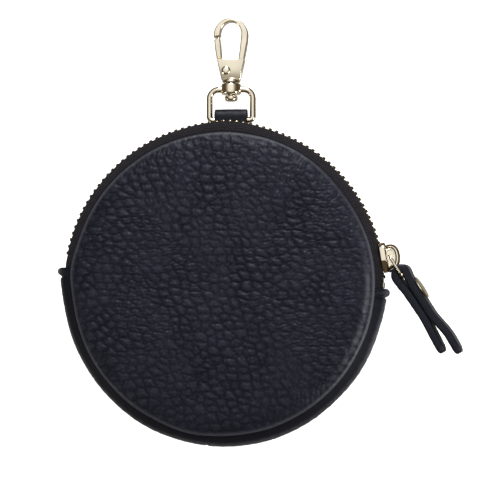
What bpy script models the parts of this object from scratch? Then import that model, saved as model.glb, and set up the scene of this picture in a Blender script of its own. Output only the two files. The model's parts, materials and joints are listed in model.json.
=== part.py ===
"""Round leather coin purse with a zip round its top half, a swivel trigger clip and a leather zip pull.

The purse lies on its back panel: +Z comes out of the front panel, +Y points to the clip, and the origin
is at the middle of the back panel's flat face. Blender units are metres; the sizes below are millimetres.
"""

import math

import bmesh
import bpy
from mathutils import Matrix, Vector

MM = 0.001
CLEARANCE = 0.3
CLOSE = 0.0001

# Purse body
OUTER_R = 50.0
PANEL_R = 47.0
THICKNESS = 22.0
MID_Z = THICKNESS / 2
PANEL_EDGE_Z = 7.4  # the panels' turned edges, above and below the mid-plane
PANEL_POWER = 2.6  # how suddenly a panel's dome falls to its edge
FRONT_FLAT_R = 6.0
BACK_FLAT_R = 20.0
LEATHER = 1.4
FOAM = 1.0
FOAM_R = 44.0
LINING = 0.5
LINING_R = 44.5
SEAM_R = 46.6
SEAM_Z = 6.0
ROUND_STEPS = 48
INNER_STEPS = 32

# Zip, in degrees anticlockwise from +X
ZIP_START = -1.7
ZIP_END = 173.5
END_GAP = 0.6
BUMP_WIDTH = 3.2
BUMP_HEIGHT = 1.2
TAPE = 0.6
TAPE_EDGE_Z = 2.4
TEETH_R = (48.5, 50.3)
TEETH_Z = (0.5, 2.1)
STOP_LENGTH = 1.2

# Slider, with its own axes: X outwards, Y anticlockwise, from the purse's axis
SLIDER_ANGLE = 8.7
SLIDER_LENGTH = 9.0
SLIDER_HALF_WIDTH = 4.2
SLIDER_PLATE_R = (50.6, 51.1)
SLIDER_INNER_R = (47.3, 47.9)
SLIDER_WALL = 0.8
SLIDER_WALL_R = 49.3
SLIDER_INNER_HALF_WIDTH = 2.2
SLIDER_POST = (1.0, 3.2)  # the post's two ends along the zip
SLIDER_POST_HALF_WIDTH = 0.2
BRIDGE_THICKNESS = 0.85
BRIDGE_WIDTH = 2.4
BRIDGE_LINE = [
    (51.85, 4.3), (53.2, 4.35), (54.2, 3.4), (54.45, 1.2), (53.9, -1.2), (52.9, -2.7), (51.85, -3.4),
]

# Pull link and leather tab
LINK_PIVOT = Vector((51.2, 8.0, MID_Z))
TAB_PIVOT = Vector((55.2, 1.7, MID_Z))
LINK_WIRE = 0.84
LINK_HALF_WIDTH = 4.9
LINK_CORNER = 1.3
TAB_LEATHER = 2.3
TAB_WIDTH = 7.4
TAB_LINE = [
    (67.5, -21.5), (62.4, -11.6), (59.6, -7.2), (56.8, -2.9), (54.3, -0.4), (53.2, 2.0), (54.0, 4.1),
    (56.0, 4.2), (57.2, 1.9), (58.95, -1.5), (61.8, -5.85), (64.6, -10.2), (69.2, -15.7), (72.6, -21.7),
]
STUD_AT = Vector((60.65, -1.7, MID_Z))
STUD_NORMAL = Vector((0.841, 0.541, 0.0))
STUD_R = 3.5
STUD_POST_R = 0.8
STUD_END = -4.6  # the post's end, below the tab's outer face
STUD_BACK_R = 2.4
STUD_POCKET = (2.8, -4.1)  # the sunk seat of the stud's back: its radius and its floor

# Hanging loop and clip, which lies flat beside the back panel
CLIP_X = 1.5
CLIP_Z = 3.2
LOOP_WIDTH = 10.2
LOOP_LEATHER = 1.2
LOOP_TOP_Y = 55.2
LOOP_ROOT_Y = 47.5
BAR_Y = 51.7
FRAME_WIRE = 1.9
FRAME_HALF_WIDTH = 6.8
FRAME_SHOULDER_Y = 61.4
FRAME_CORNERS = (2.6, 1.2)  # the bends at the shoulders and at the bar
BOSS_R = 3.1
BOSS_Y = (59.8, 63.2)
BORE_R = 1.3
PIN_R = 1.0
PIN_HEAD_R = 2.0
PIN_HEAD_Y = (57.7, 59.4)
NECK_R = 2.8
NECK_Y = (63.5, 64.4)
HOOK_DEPTH = 3.8
HOOK_TOP_Y = 83.9
BOW_R = 5.4
BOW_INNER_R = 3.3
BOW_CENTRE_Y = HOOK_TOP_Y - BOW_R
PLATE_TOP_Y = 70.4
GATE_TIP_Y = 77.5
GATE_PIVOT = Vector((CLIP_X - 1.5, 67.2, CLIP_Z))
GATE_DEPTH = 1.2
GATE_Z = -0.3  # the gate's middle, from the hook's middle plane
SLOT_DEPTH = 2.4
SLOT_LOW_Y = 65.3
SPRING_WIRE = 0.22
SPRING_TURNS = 1.25
SPRING_RISE = 0.36
RIVET_R = 0.7
RIVET_HEAD_R = 1.4

LEATHER_COLOUR = (0.018, 0.021, 0.030)
GOLD_COLOUR = (0.80, 0.66, 0.42)
TAPE_COLOUR = (0.013, 0.014, 0.020)
TEETH_COLOUR = (0.52, 0.44, 0.28)
LINING_COLOUR = (0.030, 0.031, 0.036)
FOAM_COLOUR = (0.75, 0.75, 0.72)
STEEL_COLOUR = (0.60, 0.60, 0.60)


def clear_scene():
    for old in list(bpy.data.objects):
        bpy.data.objects.remove(old, do_unlink=True)


def collection(name):
    made = bpy.data.collections.new(name)
    bpy.context.scene.collection.children.link(made)
    return made


def material(name, colour, roughness, metallic=0.0):
    made = bpy.data.materials.new(name)
    made.use_nodes = True
    shader = made.node_tree.nodes["Principled BSDF"]
    shader.inputs["Base Color"].default_value = (*colour, 1.0)
    shader.inputs["Roughness"].default_value = roughness
    shader.inputs["Metallic"].default_value = metallic
    return made


def add(name, mesh, finish, origin=None):
    """A new part from a mesh in millimetres, whose origin is moved to a point."""
    origin = Vector(origin) if origin else Vector((0.0, 0.0, 0.0))
    mesh.transform(Matrix.Translation(-origin))
    mesh.transform(Matrix.Scale(MM, 4))
    mesh.materials.append(finish)
    made = bpy.data.objects.new(name, mesh)
    made.location = origin * MM
    PARTS.objects.link(made)
    mesh.shade_smooth()
    mesh.set_sharp_from_angle(angle=math.radians(35))
    return made


def to_mesh(shape, name):
    """The bmesh as a mesh, with its faces pointing out."""
    bmesh.ops.remove_doubles(shape, verts=shape.verts, dist=CLOSE)
    bmesh.ops.recalc_face_normals(shape, faces=shape.faces)
    mesh = bpy.data.meshes.new(name)
    shape.to_mesh(mesh)
    shape.free()
    return mesh


def spun(name, outline, start, angle, steps):
    """A closed outline of (radius, z) points turned about Z through an angle in degrees."""
    shape = bmesh.new()
    first = math.radians(start)
    corners = [shape.verts.new((r * math.cos(first), r * math.sin(first), z)) for r, z in outline]
    face = shape.faces.new(corners)
    if angle >= 360:
        shape.faces.remove(face)
        for edge in [e for e in shape.edges if all(v.co.xy.length < CLOSE for v in e.verts)]:
            shape.edges.remove(edge)
        bmesh.ops.spin(shape, geom=list(shape.edges), cent=(0, 0, 0), axis=(0, 0, 1),
                       angle=math.radians(360), steps=steps)
    else:
        bmesh.ops.spin(shape, geom=[face], cent=(0, 0, 0), axis=(0, 0, 1),
                       angle=math.radians(angle), steps=steps)
    return to_mesh(shape, name)


def smooth_line(points, per_span):
    """Points along a Catmull-Rom curve through the given points."""
    line = []
    for i in range(len(points) - 1):
        before = Vector(points[max(i - 1, 0)])
        a = Vector(points[i])
        b = Vector(points[i + 1])
        after = Vector(points[min(i + 2, len(points) - 1)])
        for k in range(per_span):
            t = k / per_span
            line.append(0.5 * (2 * a + (b - before) * t + (2 * before - 5 * a + 4 * b - after) * t**2
                               + (3 * a - before - 3 * b + after) * t**3))
    line.append(Vector(points[-1]))
    return line


def strip_outline(line, thickness):
    """The outline of a strip that follows a line, half its thickness to each side."""
    left, right = [], []
    for i, point in enumerate(line):
        along = (line[min(i + 1, len(line) - 1)] - line[max(i - 1, 0)]).normalized()
        side = Vector((-along.y, along.x)) * thickness / 2
        left.append(point + side)
        right.append(point - side)
    return left + right[::-1]


def slab(name, outlines, width, z=0.0):
    """Flat outlines in X and Y, filled and extruded along Z about the height z."""
    curve = bpy.data.curves.new(name, "CURVE")
    curve.dimensions = "2D"
    curve.fill_mode = "BOTH"
    curve.extrude = width / 2
    curve.render_resolution_u = 0
    for outline in outlines:
        spline = curve.splines.new("POLY")
        spline.points.add(len(outline) - 1)
        for i, point in enumerate(outline):
            spline.points[i].co = (point[0], point[1], 0.0, 1.0)
        spline.use_cyclic_u = True
    return curve_mesh(name, curve, Matrix.Translation((0, 0, z)))


def wire(name, line, thickness, closed=False):
    """A round wire along a line of 3D points."""
    curve = bpy.data.curves.new(name, "CURVE")
    curve.dimensions = "3D"
    curve.bevel_depth = thickness / 2
    curve.bevel_resolution = 2
    curve.use_fill_caps = not closed
    curve.render_resolution_u = 0
    spline = curve.splines.new("POLY")
    spline.points.add(len(line) - 1)
    for i, point in enumerate(line):
        spline.points[i].co = (*point, 1.0)
    spline.use_cyclic_u = closed
    return curve_mesh(name, curve, Matrix.Identity(4))


def curve_mesh(name, curve, place):
    """A curve's mesh, with its caps welded, moved to its place."""
    guide = bpy.data.objects.new(name + "_guide", curve)
    bpy.context.scene.collection.objects.link(guide)
    evaluated = guide.evaluated_get(bpy.context.evaluated_depsgraph_get())
    made = bpy.data.meshes.new_from_object(evaluated)
    bpy.data.objects.remove(guide, do_unlink=True)
    shape = bmesh.new()
    shape.from_mesh(made)
    shape.transform(place)
    return to_mesh(shape, name)


def rod(name, outline, place, steps=20):
    """A solid turned about Z from (radius, z) points, bottom first on the axis, then moved to its place."""
    mesh = spun(name, outline, 0, 360, steps)
    mesh.transform(place)
    return mesh


def along(direction, at):
    """The matrix that turns +Z to a direction and moves the origin to a point."""
    return Matrix.Translation(at) @ Vector((0, 0, 1)).rotation_difference(direction).to_matrix().to_4x4()


def box(name, low, high):
    shape = bmesh.new()
    bmesh.ops.create_cube(shape, size=1.0)
    middle = (Vector(low) + Vector(high)) / 2
    size = Vector(high) - Vector(low)
    bmesh.ops.transform(shape, matrix=Matrix.Translation(middle) @ Matrix.Diagonal((*size, 1.0)),
                        verts=shape.verts)
    return to_mesh(shape, name)


def boolean(part, operation, mesh, name):
    """Joins or cuts a part with a mesh in millimetres, which is kept as a hidden tool."""
    mesh.transform(Matrix.Scale(MM, 4))
    tool = bpy.data.objects.new(name, mesh)
    tool.hide_render = True
    tool.display_type = "WIRE"
    TOOLS.objects.link(tool)
    change = part.modifiers.new(name, "BOOLEAN")
    change.operation = operation
    change.object = tool


def dome(radius, flat_r):
    """A panel's outer face, above the mid-plane, at a radius."""
    share = max(0.0, (radius - flat_r) / (PANEL_R - flat_r))
    return MID_Z - (MID_Z - PANEL_EDGE_Z) * share**PANEL_POWER


def disc_outline(side, flat_r, edge_r, depth, thickness, shares=(0.45, 0.8, 1.0)):
    """A domed disc's (radius, z) outline, a depth below the panel's outer face."""
    radii = [0.0, flat_r] + [flat_r + (edge_r - flat_r) * share for share in shares]
    outer = [(r, dome(r, flat_r) - depth) for r in radii]
    inner = [(r, z - thickness) for r, z in outer]
    return [(r, MID_Z + side * z) for r, z in outer + inner[::-1]]


def panel(name, side, flat_r):
    """A leather panel: a domed shell whose edge turns under."""
    body_r = PANEL_R - LEATHER
    outline = disc_outline(side, flat_r, body_r, 0.0, LEATHER, (0.3, 0.55, 0.75, 0.9, 1.0))
    half = len(outline) // 2
    edge = [(PANEL_R - 0.35, PANEL_EDGE_Z + 0.15), (PANEL_R, PANEL_EDGE_Z - 0.35),
            (PANEL_R - 0.45, PANEL_EDGE_Z - 0.95)]
    turned = [(r, MID_Z + side * z) for r, z in edge]
    outline = outline[:half] + turned + outline[half:]
    return add(name, spun(name, outline, 0, 360, ROUND_STEPS), LEATHER_FINISH)


def gusset_radius(z):
    """The gusset's outer face at a height from the mid-plane."""
    return SEAM_R + (OUTER_R - SEAM_R) * (1 - (z / SEAM_Z) ** 2)


def gusset_outline(depth, thickness, half_height):
    heights = [half_height * k / 3 for k in range(-3, 4)]
    outer = [(gusset_radius(z) - depth, MID_Z + z) for z in heights]
    inner = [(r - thickness, z) for r, z in outer]
    return outer + inner[::-1]


def make_gusset():
    """The leather strip round the bottom half, whose two ends are folded over and stand proud."""
    start = ZIP_END + END_GAP
    end = 360 + ZIP_START - END_GAP
    mesh = spun("gusset", gusset_outline(0, LEATHER, SEAM_Z), start, end - start, 54)
    for vertex in mesh.vertices:
        angle = math.degrees(math.atan2(vertex.co.y, vertex.co.x)) % 360
        to_end = min(angle - start, end - angle)
        outside = math.hypot(vertex.co.x, vertex.co.y) > gusset_radius(vertex.co.z - MID_Z) - LEATHER / 2
        if outside and to_end < BUMP_WIDTH:
            share = 1 + BUMP_HEIGHT * (1 - ((vertex.co.z - MID_Z) / SEAM_Z) ** 4) / OUTER_R
            vertex.co.x *= share
            vertex.co.y *= share
    add("gusset", mesh, LEATHER_FINISH)


def make_gusset_lining():
    start = ZIP_END + END_GAP
    sweep = 360 + ZIP_START - ZIP_END - 2 * END_GAP
    outline = gusset_outline(LEATHER + CLEARANCE, LINING, SEAM_Z - 1.8)
    add("gusset_lining", spun("gusset_lining", outline, start, sweep, 30), LINING_FINISH)


def row_outline(low, high):
    """The section of a row of teeth or of a stop, between two heights from the mid-plane."""
    inner, outer = TEETH_R
    return [(outer, high), (outer, low), (inner, low), (inner, high)]


def make_zip_side(side, name):
    """One side of the zip: its woven tape, which slopes from the panel to the teeth, and its row of teeth."""
    tape = [(SEAM_R, SEAM_Z), (TEETH_R[1] - 0.6, TAPE_EDGE_Z), (TEETH_R[0] + 0.3, TAPE_EDGE_Z),
            (SEAM_R - 1.1, SEAM_Z)]
    teeth = row_outline(*TEETH_Z)
    sweep = ZIP_END - ZIP_START
    for kind, outline, finish in (("tape", tape, TAPE_FINISH), ("teeth", teeth, TEETH_FINISH)):
        part_name = f"zip_{kind}_{name}"
        placed = [(r, MID_Z + side * z) for r, z in outline]
        margin = math.degrees((STOP_LENGTH + 2 * CLEARANCE) / OUTER_R) if kind == "teeth" else 0.0
        mesh = spun(part_name, placed, ZIP_START + margin, sweep - 2 * margin, 48)
        add(part_name, mesh, finish)


def make_stop(name, angle, low, high):
    """A metal stop at one end of the zip, between two heights from the mid-plane."""
    half = math.degrees(STOP_LENGTH / OUTER_R) / 2
    outline = row_outline(MID_Z + low, MID_Z + high)
    add(name, spun(name, outline, angle - half, 2 * half, 2), TEETH_FINISH)


def make_stops():
    half = math.degrees(STOP_LENGTH / OUTER_R) / 2
    make_stop("zip_top_stop_front", ZIP_START + half, *TEETH_Z)
    make_stop("zip_top_stop_back", ZIP_START + half, -TEETH_Z[1], -TEETH_Z[0])
    make_stop("zip_bottom_stop", ZIP_END - half, -TEETH_Z[1], -TEETH_Z[0])


def make_slider():
    """The slider: an outer plate with side walls, an inner plate, the post between them, and the bridge."""
    turn = Matrix.Rotation(math.radians(SLIDER_ANGLE), 4, "Z")
    half = SLIDER_LENGTH / 2
    width = SLIDER_HALF_WIDTH
    inside = width - SLIDER_WALL
    low, high = SLIDER_PLATE_R
    channel = [(SLIDER_WALL_R, width), (high, width), (high, -width), (SLIDER_WALL_R, -width),
               (SLIDER_WALL_R, -inside), (low, -inside), (low, inside), (SLIDER_WALL_R, inside)]
    stand = Matrix(((1, 0, 0, 0), (0, 0, 1, 0), (0, 1, 0, MID_Z), (0, 0, 0, 1)))
    shell = slab("slider_body", [channel], SLIDER_LENGTH)
    shell.transform(turn @ stand)
    shell.flip_normals()
    body = add("slider_body", shell, GOLD_FINISH)
    overlap = 0.2
    inner_low = (SLIDER_INNER_R[0], 1 - half, MID_Z - SLIDER_INNER_HALF_WIDTH)
    inner = box("inner_plate", inner_low, (SLIDER_INNER_R[1], half - 1, MID_Z + SLIDER_INNER_HALF_WIDTH))
    inner.transform(turn)
    boolean(body, "UNION", inner, "slider_inner_plate")
    post_low = (SLIDER_INNER_R[0] + overlap, SLIDER_POST[0], MID_Z - SLIDER_POST_HALF_WIDTH)
    post = box("post", post_low, (low + overlap, SLIDER_POST[1], MID_Z + SLIDER_POST_HALF_WIDTH))
    post.transform(turn)
    boolean(body, "UNION", post, "slider_post")
    outline = strip_outline(smooth_line(BRIDGE_LINE, 3), BRIDGE_THICKNESS)
    bridge = slab("slider_bridge", [outline], BRIDGE_WIDTH, MID_Z)
    bridge.transform(turn)
    add("slider_bridge", bridge, GOLD_FINISH)


def make_link():
    """The pull link: a flat wire ring that stands on edge, round the bridge and inside the tab's fold."""
    corner = LINK_CORNER
    reach = (TAB_PIVOT - LINK_PIVOT).length
    half = LINK_HALF_WIDTH - LINK_WIRE / 2
    line = []
    for x, y, first in ((reach, half, 90), (0, half, 180), (0, -half, 270), (reach, -half, 360)):
        centre = Vector((x - math.copysign(corner, x - reach / 2), y - math.copysign(corner, y)))
        for k in range(4):
            angle = math.radians(first - 90 + 30 * k)
            line.append(centre + corner * Vector((math.cos(angle), math.sin(angle))))
    outwards = (TAB_PIVOT - LINK_PIVOT).normalized()
    points = [LINK_PIVOT + outwards * p.x + Vector((0, 0, p.y)) for p in line]
    add("pull_link", wire("pull_link", points, LINK_WIRE, closed=True), GOLD_FINISH, LINK_PIVOT)


def make_tab():
    """The pull tab: one leather strip folded over the link, held by a capped stud through both flaps."""
    outline = strip_outline(smooth_line(TAB_LINE, 3), TAB_LEATHER)
    tab = add("pull_tab", slab("pull_tab", [outline], TAB_WIDTH, MID_Z), LEATHER_FINISH, TAB_PIVOT)
    turned = along(STUD_NORMAL, STUD_AT)
    hole_r = STUD_POST_R + CLEARANCE
    pocket_r, floor = STUD_POCKET
    hole_outline = [(0, -9), (pocket_r, -9), (pocket_r, floor), (hole_r, floor), (hole_r, 3), (0, 3)]
    boolean(tab, "DIFFERENCE", rod("stud_hole", hole_outline, turned, 16), "stud_hole")
    cap = CLEARANCE
    stud = [(0, STUD_END), (STUD_POST_R, STUD_END), (STUD_POST_R, cap), (STUD_R, cap), (STUD_R, cap + 0.4),
            (STUD_R * 0.7, cap + 0.75), (0, cap + 0.9)]
    add("tab_stud", rod("tab_stud", stud, turned), GOLD_FINISH)
    top = STUD_END - CLEARANCE
    back = [(0, top - 0.5), (STUD_BACK_R - 0.4, top - 0.4), (STUD_BACK_R, top), (0, top)]
    add("tab_stud_back", rod("tab_stud_back", back, turned), GOLD_FINISH)


def make_loop():
    """The hanging loop: a leather strap from the back seam, folded round the D-frame's bar."""
    ply = FRAME_WIRE / 2 + CLEARANCE + LOOP_LEATHER / 2
    fold_y = LOOP_TOP_Y - LOOP_LEATHER / 2 - ply
    line = [Vector((LOOP_ROOT_Y, -0.75)), Vector((LOOP_ROOT_Y + 1.1, -ply * 0.7))]
    line.append(Vector((LOOP_ROOT_Y + 2.3, -ply)))
    for k in range(9):
        angle = math.radians(-90 + 180 * k / 8)
        line.append(Vector((fold_y + ply * math.cos(angle), ply * math.sin(angle))))
    line += [Vector((p.x, -p.y)) for p in line[2::-1]]
    mesh = slab("hanging_loop", [strip_outline(line, LOOP_LEATHER)], LOOP_WIDTH)
    stand = Matrix(((0, 0, 1, CLIP_X), (1, 0, 0, 0), (0, 1, 0, CLIP_Z), (0, 0, 0, 1)))
    mesh.transform(stand)
    add("hanging_loop", mesh, LEATHER_FINISH)


def make_frame():
    """The clip's D-frame: a bent wire whose two ends run into the boss that the swivel pin turns in."""
    line = [Vector((-BOSS_R + 0.6, FRAME_SHOULDER_Y))]
    corner, low = FRAME_CORNERS
    half = FRAME_HALF_WIDTH
    for k in range(5):
        angle = math.radians(90 + 90 * k / 4)
        centre = Vector((corner - half, FRAME_SHOULDER_Y - corner))
        line.append(centre + corner * Vector((math.cos(angle), math.sin(angle))))
    for k in range(4):
        angle = math.radians(180 + 90 * k / 3)
        centre = Vector((low - half, BAR_Y + low))
        line.append(centre + low * Vector((math.cos(angle), math.sin(angle))))
    line += [Vector((-p.x, p.y)) for p in line[::-1]]
    points = [(CLIP_X + p.x, p.y, CLIP_Z) for p in line]
    bar = (CLIP_X, BAR_Y, CLIP_Z)
    frame = add("swivel_frame", wire("swivel_frame", points, FRAME_WIRE), GOLD_FINISH, bar)
    up = along(Vector((0, 1, 0)), Vector((CLIP_X, 0, CLIP_Z)))
    low_y, high_y = BOSS_Y
    boss = rod("boss", [(0, low_y), (BOSS_R, low_y), (BOSS_R, high_y), (0, high_y)], up, 24)
    boolean(frame, "UNION", boss, "frame_boss")
    bore = rod("bore", [(0, low_y - 1), (BORE_R, low_y - 1), (BORE_R, high_y + 1), (0, high_y + 1)], up, 16)
    boolean(frame, "DIFFERENCE", bore, "frame_bore")


def make_pin():
    """The headed pin that ties the hook to the D-frame's boss and lets it turn."""
    up = along(Vector((0, 1, 0)), Vector((CLIP_X, 0, CLIP_Z)))
    low, high = PIN_HEAD_Y
    end = NECK_Y[1] + 0.2
    outline = [(0, low), (PIN_HEAD_R - 0.4, low), (PIN_HEAD_R, low + 0.4), (PIN_HEAD_R, high), (PIN_R, high),
               (PIN_R, end), (0, end)]
    add("swivel_pin", rod("swivel_pin", outline, up, 16), GOLD_FINISH)


def hook_outline():
    """The hook's side view, from the clip's axis: the tapered plate and the bow, open on the gate's side."""
    plate_low, plate_high, inner_low = 2.9, 4.2, 2.3
    low_y = NECK_Y[1]
    outline = [Vector((-plate_low, low_y)), Vector((plate_low, low_y)), Vector((plate_high, PLATE_TOP_Y))]
    outline.append(Vector((BOW_R - 0.15, BOW_CENTRE_Y - 3.0)))
    for k in range(13):
        angle = math.pi * k / 12
        outline.append(Vector((BOW_R * math.cos(angle), BOW_CENTRE_Y + BOW_R * math.sin(angle))))
    outline.append(Vector((-BOW_R + 0.1, GATE_TIP_Y + CLEARANCE)))
    outline.append(Vector((-BOW_INNER_R, GATE_TIP_Y + CLEARANCE)))
    rise = BOW_R - 1.3
    for k in range(9):
        angle = math.pi - math.pi * k / 8
        outline.append(Vector((BOW_INNER_R * math.cos(angle), BOW_CENTRE_Y + rise * math.sin(angle))))
    outline += [Vector((inner_low, PLATE_TOP_Y)), Vector((-plate_high, PLATE_TOP_Y))]
    return [(CLIP_X + p.x, p.y) for p in outline]


def make_hook():
    """The hook: plate, bow and neck in one casting, with a slot for the gate and a hole for its rivet."""
    hook = add("hook_body", slab("hook_body", [hook_outline()], HOOK_DEPTH, CLIP_Z), GOLD_FINISH)
    up = along(Vector((0, 1, 0)), Vector((CLIP_X, 0, CLIP_Z)))
    low, high = NECK_Y
    neck = rod("neck", [(0, low), (NECK_R, low), (NECK_R, high + 0.4), (0, high + 0.4)], up, 20)
    boolean(hook, "UNION", neck, "hook_neck")
    bore_end = high + 0.5
    bore = rod("pin_hole", [(0, low - 1), (BORE_R, low - 1), (BORE_R, bore_end), (0, bore_end)], up, 16)
    boolean(hook, "DIFFERENCE", bore, "hook_pin_hole")
    slot_low = (CLIP_X - 6.0, SLOT_LOW_Y, CLIP_Z - SLOT_DEPTH / 2)
    slot_high = (CLIP_X + 1.8, PLATE_TOP_Y + 1.0, CLIP_Z + SLOT_DEPTH / 2)
    boolean(hook, "DIFFERENCE", box("gate_slot", slot_low, slot_high), "hook_gate_slot")
    hole_r = RIVET_R + CLEARANCE
    place = Matrix.Translation(GATE_PIVOT)
    hole = rod("rivet_hole", [(0, -3), (hole_r, -3), (hole_r, 3), (0, 3)], place, 12)
    boolean(hook, "DIFFERENCE", hole, "hook_rivet_hole")


def make_gate():
    """The gate: a flat lever on the rivet that closes the bow's open side."""
    pivot = Vector((GATE_PIVOT.x, GATE_PIVOT.y))
    heel_r = 1.5
    tip_in, tip_out = CLIP_X - BOW_INNER_R - 0.1, CLIP_X - BOW_R + 0.15
    outline = []
    for k in range(6):
        angle = math.radians(210 + 150 * k / 5)
        outline.append(pivot + heel_r * Vector((math.cos(angle), math.sin(angle))))
    outline += [Vector((CLIP_X - 1.9, PLATE_TOP_Y + 0.8)), Vector((tip_in, GATE_TIP_Y)),
                Vector((tip_out, GATE_TIP_Y - 0.6)), Vector((CLIP_X - 4.3, PLATE_TOP_Y + 0.4)),
                Vector((CLIP_X - 4.0, PLATE_TOP_Y - 1.6))]
    mesh = slab("hook_gate", [outline], GATE_DEPTH, CLIP_Z + GATE_Z)
    gate = add("hook_gate", mesh, GOLD_FINISH, GATE_PIVOT)
    hole_r = RIVET_R + CLEARANCE
    hole = rod("gate_hole", [(0, -3), (hole_r, -3), (hole_r, 3), (0, 3)], Matrix.Translation(GATE_PIVOT), 12)
    boolean(gate, "DIFFERENCE", hole, "gate_rivet_hole")


def make_rivet():
    half = HOOK_DEPTH / 2 + CLEARANCE
    head = 0.45
    outline = [(0, -half - head), (RIVET_HEAD_R - 0.3, -half - head), (RIVET_HEAD_R, -half), (RIVET_R, -half),
               (RIVET_R, half), (RIVET_HEAD_R, half), (RIVET_HEAD_R - 0.3, half + head), (0, half + head)]
    add("gate_rivet", rod("gate_rivet", outline, Matrix.Translation(GATE_PIVOT), 16), GOLD_FINISH)


def make_spring():
    """The gate's torsion spring, coiled on the rivet beside the gate."""
    radius = RIVET_R + CLEARANCE + SPRING_WIRE
    low = GATE_Z + (GATE_DEPTH + CLEARANCE + SPRING_WIRE) / 2
    steps = 15
    line = []
    for k in range(steps + 1):
        angle = 2 * math.pi * SPRING_TURNS * k / steps
        height = low + SPRING_RISE * k / steps
        line.append(GATE_PIVOT + Vector((radius * math.cos(angle), radius * math.sin(angle), height)))
    add("gate_spring", wire("gate_spring", line, SPRING_WIRE), STEEL_FINISH)


clear_scene()
PARTS = collection("coin_purse")
TOOLS = collection("cutters")
LEATHER_FINISH = material("pebbled_leather", LEATHER_COLOUR, 0.55)
GOLD_FINISH = material("pale_gold", GOLD_COLOUR, 0.18, 1.0)
TEETH_FINISH = material("brass_teeth", TEETH_COLOUR, 0.35, 1.0)
TAPE_FINISH = material("woven_tape", TAPE_COLOUR, 0.9)
LINING_FINISH = material("lining_fabric", LINING_COLOUR, 0.85)
FOAM_FINISH = material("foam", FOAM_COLOUR, 0.95)
STEEL_FINISH = material("spring_steel", STEEL_COLOUR, 0.3, 1.0)

for side_name, side_sign, side_flat_r in (("front", 1, FRONT_FLAT_R), ("back", -1, BACK_FLAT_R)):
    panel(f"{side_name}_panel", side_sign, side_flat_r)
    foam = disc_outline(side_sign, side_flat_r, FOAM_R, LEATHER + CLEARANCE, FOAM)
    add(f"{side_name}_padding", spun(f"{side_name}_padding", foam, 0, 360, INNER_STEPS), FOAM_FINISH)
    lining = disc_outline(side_sign, side_flat_r, LINING_R, LEATHER + FOAM + 2 * CLEARANCE, LINING)
    add(f"{side_name}_lining", spun(f"{side_name}_lining", lining, 0, 360, INNER_STEPS), LINING_FINISH)
    make_zip_side(side_sign, side_name)
make_gusset()
make_gusset_lining()
make_stops()
make_slider()
make_link()
make_tab()
make_loop()
make_frame()
make_pin()
make_hook()
make_gate()
make_rivet()
make_spring()
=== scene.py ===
"""The coin purse's looks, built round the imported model. Places are in metres, and MM turns millimetres into
them. The outlines, radii and heights given to rounded, prism, lathe and cylinder are in millimetres."""

import json
import math

import bmesh
import bpy
import numpy as np
from mathutils import Matrix, Vector


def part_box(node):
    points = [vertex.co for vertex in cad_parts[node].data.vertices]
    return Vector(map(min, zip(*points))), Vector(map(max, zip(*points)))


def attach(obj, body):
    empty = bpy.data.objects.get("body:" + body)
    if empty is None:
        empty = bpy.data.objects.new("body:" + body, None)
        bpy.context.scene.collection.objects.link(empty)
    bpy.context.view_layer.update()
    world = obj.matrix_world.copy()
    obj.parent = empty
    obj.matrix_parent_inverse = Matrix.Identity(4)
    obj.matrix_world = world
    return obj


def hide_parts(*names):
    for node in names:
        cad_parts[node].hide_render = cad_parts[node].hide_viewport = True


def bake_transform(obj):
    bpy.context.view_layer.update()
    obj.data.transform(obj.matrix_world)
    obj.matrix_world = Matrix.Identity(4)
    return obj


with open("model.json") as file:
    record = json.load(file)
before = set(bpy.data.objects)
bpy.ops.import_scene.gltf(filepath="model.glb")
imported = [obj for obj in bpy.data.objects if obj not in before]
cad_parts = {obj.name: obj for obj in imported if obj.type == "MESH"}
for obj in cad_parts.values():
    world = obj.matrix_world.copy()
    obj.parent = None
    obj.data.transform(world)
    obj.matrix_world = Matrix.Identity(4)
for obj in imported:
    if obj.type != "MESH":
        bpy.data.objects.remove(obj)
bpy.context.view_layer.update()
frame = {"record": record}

MM = 0.001
UV_SCALE = 100.0  # UVs are in centimetres of surface
JOINTS = {j["name"]: Vector(j["pos_m"]) for j in frame["record"]["behaviour"]["joints"]}

# Places read from the frame
MID_Z = JOINTS["zip_run"].z
TOP_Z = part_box("front_panel")[1].z
PANEL_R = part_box("front_panel")[1].x
PANEL_EDGE_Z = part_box("front_panel")[0].z - MID_Z  # the turned edge's lower side, from the mid-plane
LEATHER = 1.4 * MM
SEAM_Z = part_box("gusset")[1].z - MID_Z
SEAM_R = 46.6 * MM
OUTER_R = 50.0 * MM

# Angles round the disc, in degrees anticlockwise from +X; the gap is between the zip's ends and the gusset
ZIP_START, ZIP_END, END_GAP = -1.7, 173.5, 0.6
TOOTH_PITCH = 2.45
SLIDER_ANGLE = 8.7

GRAIN = 0.70 * MM  # the deepest crease of the panels' pebbles


# ---------------------------------------------------------------- numbers

def hashed(i, j, seed):
    """A fixed random number from 0 to 1 for each cell of a lattice."""
    value = np.sin(i * 127.1 + j * 311.7 + seed * 74.7) * 43758.5453
    return value - np.floor(value)


def value_noise(u, v, pitch, seed):
    """Smooth noise from 0 to 1 with features about a pitch across."""
    u, v = u / pitch, v / pitch
    i, j = np.floor(u), np.floor(v)
    a, b = u - i, v - j
    a, b = a * a * (3 - 2 * a), b * b * (3 - 2 * b)
    low = hashed(i, j, seed) * (1 - a) + hashed(i + 1, j, seed) * a
    high = hashed(i, j + 1, seed) * (1 - a) + hashed(i + 1, j + 1, seed) * a
    return low * (1 - b) + high * b


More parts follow.
